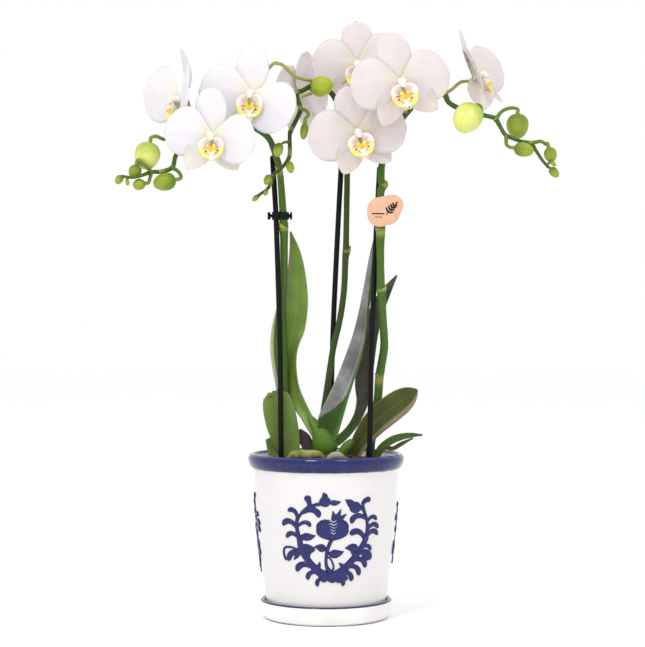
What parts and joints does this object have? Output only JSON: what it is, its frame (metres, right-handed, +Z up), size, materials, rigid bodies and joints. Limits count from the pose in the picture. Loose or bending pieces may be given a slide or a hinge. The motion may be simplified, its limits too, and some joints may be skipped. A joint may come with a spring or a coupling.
{
  "type": "potted orchid",
  "caption": "Potted white moth orchid: arching flower spikes on stakes, strap leaves and bark in a glazed pot with raised blue scrollwork, standing on a saucer.",
  "frame": {"origin": "middle of the saucer's flat underside, on the surface it stands on", "axes": "+Z up; -Y towards the side that most of the flowers face; +X to the right seen from that side"},
  "size_m": [0.3042, 0.109, 0.4197],
  "materials": {
    "glaze_white": "gloss",
    "cobalt_glaze": "gloss",
    "clear_plastic": "satin",
    "bark": "matte",
    "stake_black": "satin",
    "paper_tan": "matte",
    "stem_green": "satin",
    "leaf_green": "satin",
    "petal_white": "satin",
    "lip_gold": "satin",
    "bud_green": "satin",
    "root_green": "matte"
  },
  "bodies": {
    "root": {"pot": "glaze_white", "saucer": "glaze_white", "grow_pot": "clear_plastic", "bark_bed": "bark", "stake_left": "stake_black", "stake_middle": "stake_black", "stake_right": "stake_black", "stem_clip": "stake_black", "plant_label": "paper_tan", "flower_spike_left": "stem_green", "flower_spike_middle": "stem_green", "flower_spike_right": "stem_green", "bud_left_1": "bud_green", "bud_left_2": "bud_green", "bud_left_3": "bud_green", "bud_left_4": "bud_green", "bud_middle_1": "bud_green", "bud_middle_2": "bud_green", "bud_right_1": "bud_green", "bud_right_2": "bud_green", "bud_right_3": "bud_green", "bud_right_4": "bud_green", "leaf_strap_left": "leaf_green", "leaf_strap_right": "leaf_green", "leaf_keeled_back": "leaf_green", "leaf_broad_left": "leaf_green", "leaf_upright_left": "leaf_green", "leaf_broad_right": "leaf_green", "leaf_narrow_right": "leaf_green", "leaf_curl_right": "leaf_green", "leaf_stub_left": "leaf_green", "leaf_dark_back": "leaf_green", "plant_crown": "leaf_green", "shoot_stub": "leaf_green", "aerial_root_left": "root_green", "aerial_root_right": "root_green", "flower_1_sepals": "petal_white", "flower_1_petals": "petal_white", "flower_1_lip": "lip_gold", "flower_2_sepals": "petal_white", "flower_2_petals": "petal_white", "flower_2_lip": "lip_gold", "flower_3_sepals": "petal_white", "flower_3_petals": "petal_white", "flower_3_lip": "lip_gold", "flower_4_sepals": "petal_white", "flower_4_petals": "petal_white", "flower_4_lip": "lip_gold", "flower_5_sepals": "petal_white", "flower_5_petals": "petal_white", "flower_5_lip": "lip_gold", "flower_6_sepals": "petal_white", "flower_6_petals": "petal_white", "flower_6_lip": "lip_gold", "flower_7_sepals": "petal_white", "flower_7_petals": "petal_white", "flower_7_lip": "lip_gold", "flower_8_sepals": "petal_white", "flower_8_petals": "petal_white", "flower_8_lip": "lip_gold"}
  },
  "joints": []
}
